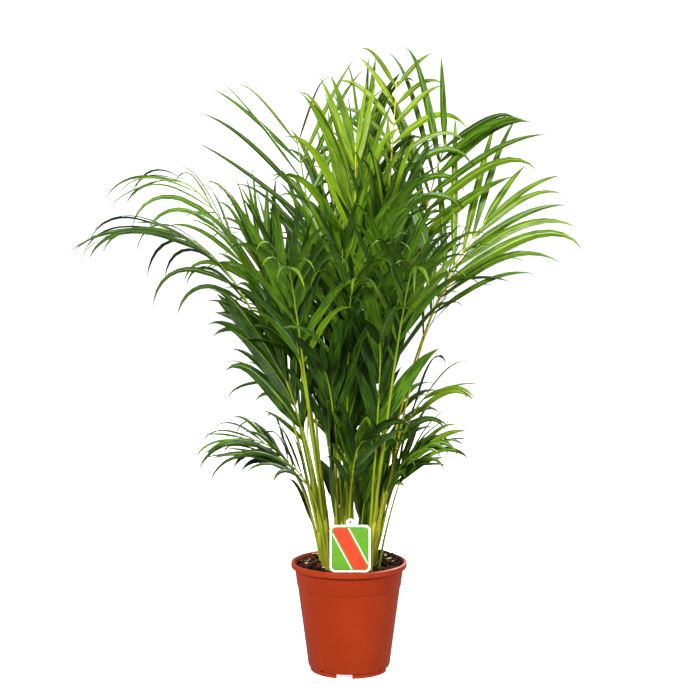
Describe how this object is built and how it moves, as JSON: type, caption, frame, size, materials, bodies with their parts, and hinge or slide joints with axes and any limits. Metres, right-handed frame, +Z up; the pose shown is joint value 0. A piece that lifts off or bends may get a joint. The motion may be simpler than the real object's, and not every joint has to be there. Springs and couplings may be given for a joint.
{
  "type": "potted palm",
  "caption": "Bushy young palm with a clump of slender stems and arching feathered fronds, in a round tapered plastic pot with soil and a plain plant tag.",
  "frame": {"origin": "on the ground under the middle of the pot, at the flat pad in the middle of the pot's underside", "axes": "+Z up the pot's axis; -Y is the front, where the tag stands; +X is the plant's right seen from the front"},
  "size_m": [0.8676, 0.7713, 1.0948],
  "materials": {
    "leaf": "satin green leaf blades, brighter at the top",
    "stem": "satin yellow-green leaf sheaths",
    "soil": "matt dark potting soil",
    "pot": "satin terracotta-coloured moulded plastic",
    "label_card": "printed card, plain green and orange fields with a white edge",
    "label_stick": "clear plastic"
  },
  "bodies": {
    "root": {"frond_back_1": "leaf", "frond_back_2": "leaf", "frond_back_3": "leaf", "frond_back_4": "leaf", "frond_core_front_1": "leaf", "frond_core_front_2": "leaf", "frond_core_front_3": "leaf", "frond_core_front_4": "leaf", "frond_core_left_2": "leaf", "frond_core_left_3": "leaf", "frond_core_left_4": "leaf", "frond_core_right_2": "leaf", "frond_core_right_3": "leaf", "frond_core_right_4": "leaf", "frond_front_1": "leaf", "frond_front_2": "leaf", "frond_front_3": "leaf", "frond_front_4": "leaf", "frond_left_1": "leaf", "frond_left_2": "leaf", "frond_left_3": "leaf", "frond_left_4": "leaf", "frond_left_back_1": "leaf", "frond_left_back_2": "leaf", "frond_left_back_3": "leaf", "frond_left_back_4": "leaf", "frond_left_front_1": "leaf", "frond_left_front_2": "leaf", "frond_left_front_3": "leaf", "frond_left_front_4": "leaf", "frond_right_1": "leaf", "frond_right_2": "leaf", "frond_right_3": "leaf", "frond_right_4": "leaf", "frond_right_back_1": "leaf", "frond_right_back_2": "leaf", "frond_right_back_3": "leaf", "frond_right_back_4": "leaf", "frond_right_front_1": "leaf", "frond_right_front_2": "leaf", "frond_right_front_3": "leaf", "frond_right_front_4": "leaf", "label_card": "label_card", "label_stick": "label_stick", "pot": "pot", "soil": "soil", "stem_back": "stem", "stem_core_front": "stem", "stem_core_left": "stem", "stem_core_right": "stem", "stem_front": "stem", "stem_left": "stem", "stem_left_back": "stem", "stem_left_front": "stem", "stem_right": "stem", "stem_right_back": "stem", "stem_right_front": "stem"}
  },
  "joints": []
}
